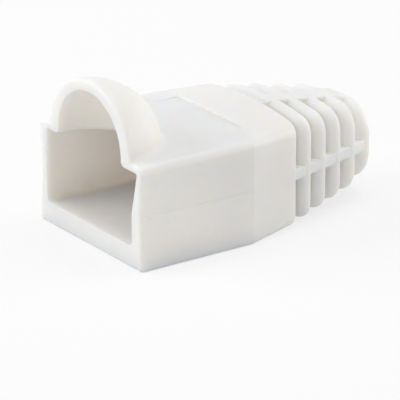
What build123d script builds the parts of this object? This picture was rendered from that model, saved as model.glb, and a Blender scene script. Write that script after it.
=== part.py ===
"""Strain relief boot for an eight-contact modular plug: one soft moulding.

The open mouth faces -Y, the cable leaves at +Y, and the flat underside lies in Z = 0. X = 0 is the
middle plane. Y is measured from the mouth while the forms are made, and the finished moulding is then
moved so that the origin is at the middle of its length. All sizes are in millimetres.
"""
from build123d import *
import os

# Mouth box that grips the plug
body_width = 14.0
body_height = 8.35
straight_length = 10.3
side_wall = 1.1
floor_thickness = 1.8
roof_thickness = 0.55
mouth_crown = 0.05
mouth_top_radius = 0.65
mouth_low_radius = 0.3
mouth_rim_radius = 0.3
pocket_depth = 10.6
pocket_top_radius = 0.15
pocket_low_radius = 0.45
pocket_crown = 0.02
funnel_end = 13.6
neck_ledge = 0.15
neck_roundness = 0.9

# Parting plane of the mould. At the mouth the soft walls have drawn in there, and the +X wall is
# thinner inside from there up.
parting_height = 4.4
mouth_pinch = 0.25
mouth_wear = 0.5
rear_pinch = 0.02
seam_depth = 0.05

# Shoulder between the mouth box and the ribs
crease_crown = 0.25
crease_top_radius = 0.55
crease_low_radius = 0.35
shoulder_end = 14.95
shoulder_draw = 0.98
shoulder_rise = 0.05
shoulder_crown = 0.6
shoulder_top_radius = 1.1
shoulder_low_radius = 1.2

# Ribbed tail: drops and rises are measured from the parting plane
rib_count = 4
rib_thickness = 0.97
rib_gap = 0.77
tail_ring_length = 1.12
taper_half_width = 4.1
taper_drop = 3.61
taper_rise = 3.37
taper_crown = 0.18
taper_radius = 2.05
tail_half_width = 3.55
tail_drop = 3.25
tail_rise = 2.95
tail_crown = 0.1
tail_radius = 2.6
cable_bore_radius = 2.5
side_spine_rise = 0.38
side_spine_drop = 0.48
spine_inset = 0.08
top_spine_width = 2.2
first_spine_sink = 0.3
spine_root = 0.5
rib_front_radius = 0.7
rib_edge_radius = 0.14

# Hood over the latch: half of a hollow ellipsoid of revolution
hood_side_gap = 1.55
hood_wall = 1.2
hood_height = 4.95
hood_roof = 0.9
hood_foot_radius = 0.45
roof_flare = 0.28

# Bare panel sunk in the top, behind the hood
panel_half_width = 4.4
panel_front = 6.0
panel_rear = 11.15
panel_depth = 0.16

# Places that follow from the sizes above
rib_pitch = rib_gap + rib_thickness
last_rib_end = shoulder_end + rib_count * rib_pitch
total_length = last_rib_end + rib_gap + tail_ring_length
pocket_half_width = body_width / 2 - side_wall
pocket_top = body_height - roof_thickness
shoulder_half_width = body_width / 2 - shoulder_draw
shoulder_height = body_height + shoulder_rise
taper_low = parting_height - taper_drop
taper_high = parting_height + taper_rise
tail_low = parting_height - tail_drop
tail_high = parting_height + tail_rise
hood_radius = body_width / 2 - hood_side_gap
hood_inner_radius = hood_radius - hood_wall
hood_inner_height = hood_height - hood_roof
hood_foot_room = hood_side_gap - mouth_top_radius


def section(y, half_width, low, high, crown, top_radius, low_radius, pinch=rear_pinch):
    """Upright rounded section at Y = y: flat underside, a top that rises by crown, sides drawn in by pinch.

    Each corner radius is kept within the straight piece of side wall that it has to fit on.
    """
    waist = half_width - pinch
    top_limit = 0.95 * min(waist, high - parting_height)
    low_limit = 0.95 * min(waist, parting_height - low)
    with BuildSketch(Plane.XZ.offset(-y)) as sketch:
        with BuildLine():
            Polyline((-half_width, high), (-waist, parting_height), (-half_width, low), (half_width, low),
                     (waist, parting_height), (half_width, high))
            ThreePointArc((half_width, high), (0, high + crown), (-half_width, high))
        make_face()
        fillet(sketch.vertices().group_by(Axis.Y)[-1], min(top_radius, top_limit))
        fillet(sketch.vertices().group_by(Axis.Y)[0], min(low_radius, low_limit))
    return sketch.sketch


def block(x_low, x_high, y_low, y_high, z_low, z_high):
    """Rectangular block between two corners."""
    size = (x_high - x_low, y_high - y_low, z_high - z_low)
    middle = ((x_low + x_high) / 2, (y_low + y_high) / 2, (z_low + z_high) / 2)
    return Pos(*middle) * Box(*size)


def box_form():
    """Outside of the mouth box and of the shoulder behind it."""
    half = body_width / 2
    mouth = section(0, half, 0, body_height, mouth_crown, mouth_top_radius, mouth_low_radius, mouth_pinch)
    crease = section(straight_length, half, 0, body_height, crease_crown, crease_top_radius,
                     crease_low_radius)
    return loft([mouth, crease, shoulder_section(0)], ruled=True)


def shoulder_section(inset, y=shoulder_end):
    """Section of the rear of the shoulder, drawn smaller by inset on every side."""
    return section(y, shoulder_half_width - inset, inset, shoulder_height - inset, shoulder_crown,
                   shoulder_top_radius, shoulder_low_radius)


def tail_form(inset):
    """Outside of the tapered tail before the gaps are cut, drawn smaller by inset on every side.

    It starts inside the shoulder, by the length of a spine's root, and its taper grows steeper in the
    middle of the last gap.
    """
    root = shoulder_section(inset, shoulder_end - spine_root)
    taper = section(last_rib_end + rib_gap / 2, taper_half_width - inset, taper_low + inset,
                    taper_high - inset, taper_crown, taper_radius, taper_radius)
    tail = section(total_length, tail_half_width - inset, tail_low + inset, tail_high - inset, tail_crown,
                   tail_radius, tail_radius)
    return loft([root, shoulder_section(inset), taper, tail], ruled=True)


def pocket_section(y, pinch, wear):
    """Upright section of the plug's room at Y = y.

    The +X wall is drawn in by pinch up to the parting plane, and from there it slopes out by wear.
    """
    half = pocket_half_width
    near_top = half + wear
    with BuildSketch(Plane.XZ.offset(-y)) as sketch:
        with BuildLine():
            Polyline((-half, pocket_top), (-half, parting_height), (-half, floor_thickness),
                     (half - pinch, floor_thickness), (half - pinch, parting_height), (near_top, pocket_top))
            ThreePointArc((near_top, pocket_top), (wear / 2, pocket_top + pocket_crown), (-half, pocket_top))
        make_face()
        fillet(sketch.vertices().group_by(Axis.Y)[-1], pocket_top_radius)
        fillet(sketch.vertices().group_by(Axis.Y)[0], pocket_low_radius)
    return sketch.sketch


def plug_pocket():
    """Room for the plug: a box open at the mouth, then a funnel that ends just wider than the cable bore."""
    half = cable_bore_radius + neck_ledge
    front = pocket_section(-1, mouth_pinch, mouth_wear)
    mouth = pocket_section(0, mouth_pinch, mouth_wear)
    back = pocket_section(pocket_depth, rear_pinch, 0)
    neck = section(funnel_end, half, parting_height - half, parting_height + half - pocket_crown,
                   pocket_crown, neck_roundness * half, neck_roundness * half)
    return loft([front, mouth, back, neck], ruled=True)


def cable_bore():
    """Round way for the cable, from inside the funnel out of the tail."""
    start = funnel_end - 0.5
    end = total_length + 1
    return Pos(0, (start + end) / 2, parting_height) * Rot(X=90) * Cylinder(cable_bore_radius, end - start)


def dome(radius, height, foot):
    """Solid turned about the upright line at the mouth.

    Its outline is the foot, a list of points, and above it a quarter ellipse that starts on the top of
    the box at the given radius.
    """
    top = (0, body_height + height)
    with BuildSketch(Plane.XZ) as outline:
        with BuildLine():
            Polyline(top, *foot, (radius, body_height))
            EllipticalCenterArc((0, body_height), radius, height, start_angle=0, arc_size=90)
        make_face()
    return revolve(outline.sketch, Axis.Z)


def hood():
    """Outside of the hood: the half of its dome that lies behind the mouth."""
    wide = body_width
    foot = [(0, body_height)]
    return dome(hood_radius, hood_height, foot) & block(-wide, wide, 0, wide, 0, 2 * wide)


def hood_space():
    """Space under the hood, with the flared opening that it makes in the roof of the pocket."""
    low = pocket_top - roof_flare
    foot = [(0, low), (hood_inner_radius + 2 * roof_flare, low), (hood_inner_radius, pocket_top + roof_flare)]
    return dome(hood_inner_radius, hood_inner_height, foot)


def panel_cut():
    """Wedge that sinks the bare panel: nothing at its front, panel_depth at its rear."""
    front_height = body_height + mouth_crown + (crease_crown - mouth_crown) * panel_front / straight_length
    rear_height = body_height + crease_crown - panel_depth
    above = body_height + hood_height
    with BuildSketch(Plane.YZ) as side:
        with BuildLine():
            Polyline((panel_front, front_height), (panel_rear, rear_height), (panel_rear, above),
                     (panel_front, above), close=True)
        make_face()
    return extrude(side.sketch, amount=panel_half_width, both=True)


def rib(form, start, length):
    """One rib of the tail: a slice of the tapered form, well rounded in front and crisp behind."""
    wide = body_width
    piece = form & block(-wide, wide, start, start + length, -1, wide)
    front = piece.edges().group_by(Axis.Y)[0]
    piece = fillet(front, min(rib_front_radius, 0.9 * (length - rib_edge_radius)))
    return fillet(piece.edges().group_by(Axis.Y)[-1], rib_edge_radius)


def spines():
    """The four bars that join the ribs, rooted in the shoulder and in the tail ring.

    There is one at each side, one on top and one underneath. The top one is sunk in the first gap.
    """
    wide = body_width
    half = top_spine_width / 2
    start = shoulder_end - spine_root
    end = last_rib_end + rib_gap + tail_ring_length / 2
    sunk_top = shoulder_height + shoulder_crown - first_spine_sink
    side = block(-wide, wide, start, end, parting_height - side_spine_drop, parting_height + side_spine_rise)
    upright = block(-half, half, start, end, -1, wide)
    sunk = block(-wide, wide, shoulder_end - rib_edge_radius, shoulder_end + rib_gap + rib_edge_radius,
                 sunk_top, 2 * wide)
    return (tail_form(spine_inset) & (side + upright)) - sunk


def is_hood_foot(edge):
    """True for the edge where the hood meets the top of the box."""
    middle = edge.position_at(0.5)
    reach = (middle.X ** 2 + middle.Y ** 2) ** 0.5
    return abs(middle.Z - body_height) < 0.2 and abs(reach - hood_radius) < 0.1


def hooded_box():
    """Mouth box, shoulder and solid hood, with a hollow at the hood's foot and softened outer rims."""
    body = box_form() + hood()
    body = fillet(body.edges().filter_by(is_hood_foot), min(hood_foot_radius, 0.9 * hood_foot_room))
    body = fillet(body.edges().group_by(Axis.Y)[0], mouth_rim_radius)
    return fillet(body.edges().group_by(Axis.Y)[-1], rib_edge_radius)


def ribbed_tail():
    """The spines with the ribs and the tail ring on them, still without the bore."""
    form = tail_form(0)
    tail = spines() + rib(form, last_rib_end + rib_gap, tail_ring_length)
    for index in range(rib_count):
        tail = tail + rib(form, shoulder_end + rib_gap + index * rib_pitch, rib_thickness)
    return tail


def seam():
    """Fine V-shaped line that the mould leaves along the side walls, from the mouth to the shoulder."""
    places = [(-1, mouth_pinch), (0, mouth_pinch), (straight_length, rear_pinch)]
    wedges = []
    for y, pinch in places:
        tip = body_width / 2 - pinch - seam_depth
        with BuildSketch(Plane.XZ.offset(-y)) as sketch:
            with BuildLine():
                Polyline((tip, parting_height), (tip + 3 * seam_depth, parting_height + 3 * seam_depth),
                         (tip + 3 * seam_depth, parting_height - 3 * seam_depth), close=True)
            make_face()
        wedges.append(sketch.sketch)
    near = loft(wedges, ruled=True)
    return near + mirror(near, Plane.YZ)


def boot():
    """The whole moulding."""
    body = hooded_box() - panel_cut() - plug_pocket() - hood_space()
    body = body - seam()
    return (body + ribbed_tail()) - plug_pocket() - cable_bore()


part = Pos(0, -total_length / 2, 0) * boot()
os.makedirs("parts", exist_ok=True)
export_step(part, "parts/boot.step")
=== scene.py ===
"""White strain relief boot on a pale floor, in soft studio light.

Everything is in metres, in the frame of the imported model: the open mouth faces -Y, the cable end
faces +Y, the hood is on top, and the underside lies on the floor at Z = 0.
"""

import math

import bpy
from mathutils import Matrix, Vector

MM = 0.001

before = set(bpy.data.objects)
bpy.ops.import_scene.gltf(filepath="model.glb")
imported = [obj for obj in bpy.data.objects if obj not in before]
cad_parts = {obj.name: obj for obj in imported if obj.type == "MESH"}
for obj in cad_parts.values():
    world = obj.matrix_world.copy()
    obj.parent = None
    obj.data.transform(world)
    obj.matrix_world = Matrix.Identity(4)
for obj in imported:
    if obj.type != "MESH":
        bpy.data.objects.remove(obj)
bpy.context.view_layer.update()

# Camera, as solved from the straight edges of the box. It aims beside the middle of the part, by
# FRAME_RIGHT and FRAME_UP across its view. LENS and SENSOR are in millimetres of film.
CAMERA_TURN = math.radians(55.12)
CAMERA_RISE = math.radians(21.14)
CAMERA_DISTANCE = 352.5 * MM
NEAREST_SEEN = 10 * MM
FRAME_MIDDLE = Vector((0.0, 1.194, 5.036)) * MM
FRAME_RIGHT = -2.394 * MM
FRAME_UP = -3.905 * MM
LENS = 411.4
SENSOR = 36.0

# Light levels: each is the share of full light on a face that looks at the sky or at the lamp
SKY_LEVEL = 0.38
LEFT_LEVEL = 0.51
REAR_LEVEL = 0.46
TOP_LEVEL = 0.39

# Square soft lamps: the direction from the part to each one, and the distance and side of all
LEFT_DIRECTION = (-0.57, -0.82, 0.45)
REAR_DIRECTION = (0.34, 0.92, 0.14)
TOP_DIRECTION = (0.0, 0.1, 1.0)
LAMP_DISTANCE = 400 * MM
LAMP_SIDE = 300 * MM

# Floor: FLOOR_GLOW is how far its paper is lifted towards plain white in view
FLOOR_HALF = 500 * MM
FLOOR_GLOW = 0.70
PAPER_COLOUR = "#fafafa"
STUDIO_WHITE = "#ffffff"

# Soft PVC: its two faint shades, and the depth that light scatters to, with the share of that depth
# for red, green and blue
PVC_DARKER = "#edebe9"
PVC_LIGHTER = "#f2f0ee"
PVC_REFRACTION = 1.5
SCATTER_DEPTH = 1.8 * MM
SCATTER_SHARES = (1.0, 0.8, 0.55)

# Surface of the moulding: cloudy shades, shallow sink marks, fine grain and softened sharp edges
CLOUD_SIZE = 6 * MM
CLOUD_DETAIL = 3.0
SINK_SIZE = 4 * MM
SINK_DETAIL = 1.0
SINK_DEPTH = 0.12 * MM
SINK_STRENGTH = 0.5
GRAIN_SIZE = 0.5 * MM
GRAIN_DETAIL = 4.0
GRAIN_DEPTH = 0.02 * MM
GRAIN_STRENGTH = 0.2
SMOOTHEST = 0.42
ROUGHEST = 0.55
EDGE_ROUNDING = 0.08 * MM
EDGE_SAMPLES = 6

# Most values of a noise texture lie between these two
NOISE_LOW = 0.3
NOISE_HIGH = 0.7


def linear(hex_colour):
    """sRGB hex colour as linear red, green, blue and an alpha of one."""
    parts = [int(hex_colour[i:i + 2], 16) / 255 for i in (1, 3, 5)]
    return tuple(c / 12.92 if c <= 0.04045 else ((c + 0.055) / 1.055) ** 2.4 for c in parts) + (1.0,)


def add(tree, kind, settings=None, inputs=None):
    """One node: its settings are set, and each input gets a number, a colour or another node's output."""
    node = tree.nodes.new(kind)
    for name, value in (settings or {}).items():
        setattr(node, name, value)
    for name, value in (inputs or {}).items():
        if isinstance(value, bpy.types.NodeSocket):
            tree.links.new(value, node.inputs[name])
        else:
            node.inputs[name].default_value = value
    return node


def add_noise(tree, place, size, detail):
    """Value of a noise texture whose patches are about as wide as size."""
    inputs = {"Vector": place, "Scale": 1 / size, "Detail": detail}
    return add(tree, "ShaderNodeTexNoise", {}, inputs).outputs["Fac"]


def add_bump(tree, height, strength, distance, normal):
    """Normal that is tilted by a height pattern."""
    inputs = {"Height": height, "Strength": strength, "Distance": distance, "Normal": normal}
    return add(tree, "ShaderNodeBump", {}, inputs).outputs["Normal"]


def new_material(name):
    """Empty node material and its tree."""
    material = bpy.data.materials.new(name)
    material.use_nodes = True
    material.node_tree.nodes.clear()
    return material, material.node_tree


def moulded_soft_pvc():
    """Soft PVC from an injection mould: satin, off-white, slightly see-through at thin edges.

    To the eye it is a warm white with faint cloudy shades where the melt cooled unevenly. Its faces
    wave slightly over shallow sink marks, its sharp edges look a little soft, and a very fine
    orange-peel skin breaks up the reflections.
    """
    material, tree = new_material("moulded_soft_pvc")
    place = add(tree, "ShaderNodeTexCoord").outputs["Object"]
    cloud = add_noise(tree, place, CLOUD_SIZE, CLOUD_DETAIL)
    sink = add_noise(tree, place, SINK_SIZE, SINK_DETAIL)
    grain = add_noise(tree, place, GRAIN_SIZE, GRAIN_DETAIL)
    shade = add(tree, "ShaderNodeValToRGB", {}, {"Fac": cloud})
    darker, lighter = shade.color_ramp.elements
    darker.position = NOISE_LOW
    darker.color = linear(PVC_DARKER)
    lighter.position = NOISE_HIGH
    lighter.color = linear(PVC_LIGHTER)
    gloss = add(tree, "ShaderNodeMapRange", {}, {"Value": grain,
                                               "From Min": NOISE_LOW, "From Max": NOISE_HIGH,
                                               "To Min": SMOOTHEST, "To Max": ROUGHEST})
    edge = add(tree, "ShaderNodeBevel", {"samples": EDGE_SAMPLES}, {"Radius": EDGE_ROUNDING})
    wave = add_bump(tree, sink, SINK_STRENGTH, SINK_DEPTH, edge.outputs["Normal"])
    skin = add_bump(tree, grain, GRAIN_STRENGTH, GRAIN_DEPTH, wave)
    shader = add(tree, "ShaderNodeBsdfPrincipled", {}, {"Base Color": shade.outputs["Color"],
                                                      "Roughness": gloss.outputs["Result"],
                                                      "Normal": skin,
                                                      "IOR": PVC_REFRACTION,
                                                      "Subsurface Weight": 1.0,
                                                      "Subsurface Scale": SCATTER_DEPTH,
                                                      "Subsurface Radius": SCATTER_SHARES})
    add(tree, "ShaderNodeOutputMaterial", {}, {"Surface": shader.outputs["BSDF"]})
    return material


def seen_in_view(tree):
    """One for rays that show this place to the camera, straight or by gloss or glass, else zero."""
    ray = add(tree, "ShaderNodeLightPath")
    direct = add(tree, "ShaderNodeMath", {"operation": "MAXIMUM"}, {0: ray.outputs["Is Camera Ray"],
                                                                  1: ray.outputs["Is Glossy Ray"]})
    shown = add(tree, "ShaderNodeMath", {"operation": "MAXIMUM"}, {0: direct.outputs["Value"],
                                                                 1: ray.outputs["Is Transmission Ray"]})
    return shown.outputs["Value"]


def matt_white_paper():
    """Matt paper for the floor: it takes light as paper does, and is lifted towards white in view."""
    material, tree = new_material("matt_white_paper")
    paper = add(tree, "ShaderNodeBsdfDiffuse", {}, {"Color": linear(PAPER_COLOUR)})
    white = add(tree, "ShaderNodeEmission", {}, {"Color": linear(STUDIO_WHITE), "Strength": 1.0})
    share = add(tree, "ShaderNodeMapRange", {}, {"Value": seen_in_view(tree), "To Min": 0.0,
                                               "To Max": FLOOR_GLOW})
    mixed = add(tree, "ShaderNodeMixShader", {}, {0: share.outputs["Result"],
                                                1: paper.outputs["BSDF"],
                                                2: white.outputs["Emission"]})
    add(tree, "ShaderNodeOutputMaterial", {}, {"Surface": mixed.outputs["Shader"]})
    return material


def build_floor():
    """Level square floor under the part."""
    half = FLOOR_HALF
    corners = [(-half, -half, 0), (half, -half, 0), (half, half, 0), (-half, half, 0)]
    mesh = bpy.data.meshes.new("floor")
    mesh.from_pydata(corners, [], [(0, 1, 2, 3)])
    floor = bpy.data.objects.new("floor", mesh)
    bpy.context.scene.collection.objects.link(floor)
    mesh.materials.append(matt_white_paper())


def build_world():
    """Even pale sky: plain white in view, softer as light."""
    world = bpy.data.worlds.new("studio")
    world.use_nodes = True
    tree = world.node_tree
    tree.nodes.clear()
    level = add(tree, "ShaderNodeMapRange", {}, {"Value": seen_in_view(tree), "To Min": SKY_LEVEL,
                                               "To Max": 1.0})
    sky = add(tree, "ShaderNodeBackground", {}, {"Color": linear(STUDIO_WHITE),
                                               "Strength": level.outputs["Result"]})
    add(tree, "ShaderNodeOutputWorld", {}, {"Surface": sky.outputs["Background"]})
    bpy.context.scene.world = world


def area_lamp(name, direction, level):
    """Square soft lamp aimed at the part; level is the share of full light on a face that looks at it."""
    towards = Vector(direction).normalized()
    turn = towards.to_track_quat("Z", "Y").to_matrix().to_4x4()
    data = bpy.data.lights.new(name, "AREA")
    data.shape = "SQUARE"
    data.size = LAMP_SIDE
    data.energy = level * math.pi * LAMP_DISTANCE ** 2 * math.pi
    lamp = bpy.data.objects.new(name, data)
    lamp.matrix_world = Matrix.Translation(FRAME_MIDDLE + towards * LAMP_DISTANCE) @ turn
    bpy.context.scene.collection.objects.link(lamp)


def build_camera():
    """Long lens camera at the photograph's angle."""
    level_reach = math.cos(CAMERA_RISE)
    back = Vector((math.sin(CAMERA_TURN) * level_reach, -math.cos(CAMERA_TURN) * level_reach,
                   math.sin(CAMERA_RISE)))
    right = Vector((math.cos(CAMERA_TURN), math.sin(CAMERA_TURN), 0))
    up = back.cross(right)
    target = FRAME_MIDDLE + right * FRAME_RIGHT + up * FRAME_UP
    turn = Matrix((right, up, back)).transposed().to_4x4()
    data = bpy.data.cameras.new("camera")
    data.lens = LENS
    data.sensor_width = SENSOR
    data.clip_start = NEAREST_SEEN
    camera = bpy.data.objects.new("camera", data)
    camera.matrix_world = Matrix.Translation(target + back * CAMERA_DISTANCE) @ turn
    bpy.context.scene.collection.objects.link(camera)
    bpy.context.scene.camera = camera


pvc = moulded_soft_pvc()
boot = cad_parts["boot"]
for held in boot.material_slots:
    held.material = pvc

build_floor()
build_world()
area_lamp("left_softbox", LEFT_DIRECTION, LEFT_LEVEL)
area_lamp("rear_softbox", REAR_DIRECTION, REAR_LEVEL)
area_lamp("top_softbox", TOP_DIRECTION, TOP_LEVEL)
build_camera()
bpy.context.scene.view_settings.view_transform = "Standard"
